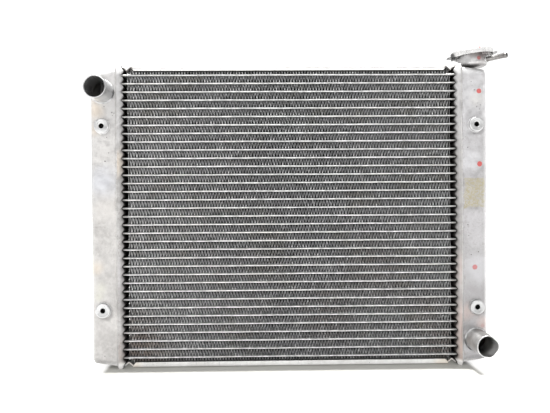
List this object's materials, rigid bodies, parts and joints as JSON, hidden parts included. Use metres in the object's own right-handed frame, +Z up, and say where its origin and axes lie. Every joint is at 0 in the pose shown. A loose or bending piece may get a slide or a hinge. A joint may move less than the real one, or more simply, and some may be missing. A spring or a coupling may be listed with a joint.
{
  "type": "car radiator",
  "caption": "Bare aluminium cross-flow car radiator: flat-tube and corrugated-fin core between two end tanks, hose stubs, threaded bosses, filler neck with pressure cap.",
  "frame": {"origin": "centre of the four threaded mounting bosses, on the plane of their front faces", "axes": "+Z up, +X towards the tank that carries the filler neck, -Y out of the radiator's front, which is the way the bolts and hoses leave"},
  "size_m": [0.4555, 0.0993, 0.3524],
  "materials": {
    "tank_aluminium": "satin",
    "header_aluminium": "satin",
    "tube_aluminium": "satin",
    "fin_aluminium": "matte",
    "side_plate_aluminium": "satin",
    "pipe_aluminium": "satin",
    "boss_aluminium": "satin",
    "neck_aluminium": "satin",
    "cap_steel": "satin",
    "cap_inner_steel": "satin",
    "seal_rubber": "matte",
    "valve_brass": "satin"
  },
  "bodies": {
    "radiator": {"left_tank": "tank_aluminium", "right_tank": "tank_aluminium", "left_header": "header_aluminium", "right_header": "header_aluminium", "core_tubes": "tube_aluminium", "fins_upper": "fin_aluminium", "fins_middle": "fin_aluminium", "fins_lower": "fin_aluminium", "top_side_plate": "side_plate_aluminium", "bottom_side_plate": "side_plate_aluminium", "inlet_pipe": "pipe_aluminium", "outlet_pipe": "pipe_aluminium", "boss_upper_left": "boss_aluminium", "boss_lower_left": "boss_aluminium", "boss_upper_right": "boss_aluminium", "boss_lower_right": "boss_aluminium", "filler_neck": "neck_aluminium", "overflow_nipple": "neck_aluminium", "drain_bung": "neck_aluminium"},
    "cap_core": {"cap_rivet": "cap_inner_steel", "cap_diaphragm": "cap_inner_steel", "cap_top_seal": "seal_rubber", "cap_bell": "cap_inner_steel", "pressure_spring": "cap_inner_steel"},
    "cap_shell": {"cap_shell": "cap_steel"},
    "pressure_valve": {"pressure_plate": "cap_inner_steel", "pressure_seal": "seal_rubber", "vacuum_spring": "cap_inner_steel"},
    "vacuum_valve": {"vacuum_valve": "valve_brass"},
    "drain_washer": {"drain_washer": "seal_rubber"},
    "drain_plug": {"drain_plug": "valve_brass"}
  },
  "joints": [
    {"name": "cap_rise", "type": "slide", "parent": "radiator", "child": "cap_core", "axis": [-0.1219, 0, 0.9925], "range_m": [0, 0.002]},
    {"name": "cap_turn", "type": "hinge", "parent": "cap_core", "child": "cap_shell", "pos_m": [0.2062, 0.0265, 0.1827], "axis": [-0.1219, 0, 0.9925], "range_deg": [0, 90]},
    {"name": "pressure_lift", "type": "slide", "parent": "cap_core", "child": "pressure_valve", "axis": [-0.1219, 0, 0.9925], "range_m": [0, 0.003], "deforming": ["pressure_spring"]},
    {"name": "vacuum_open", "type": "slide", "parent": "pressure_valve", "child": "vacuum_valve", "axis": [0.1219, 0, -0.9925], "range_m": [0, 0.0012], "deforming": ["vacuum_spring"]},
    {"name": "drain_travel", "type": "slide", "parent": "radiator", "child": "drain_washer", "axis": [0, 1, 0], "range_m": [0, 0.0045]},
    {"name": "drain_turn", "type": "hinge", "parent": "drain_washer", "child": "drain_plug", "pos_m": [0.203, 0.0548, -0.145], "axis": [0, 1, 0], "range_deg": [0, 1080]}
  ],
  "couplings": [
    {"joint": "cap_turn", "follows": "cap_rise", "rad_per_m": 785.39},
    {"joint": "drain_turn", "follows": "drain_travel", "rad_per_m": 4188.8}
  ]
}
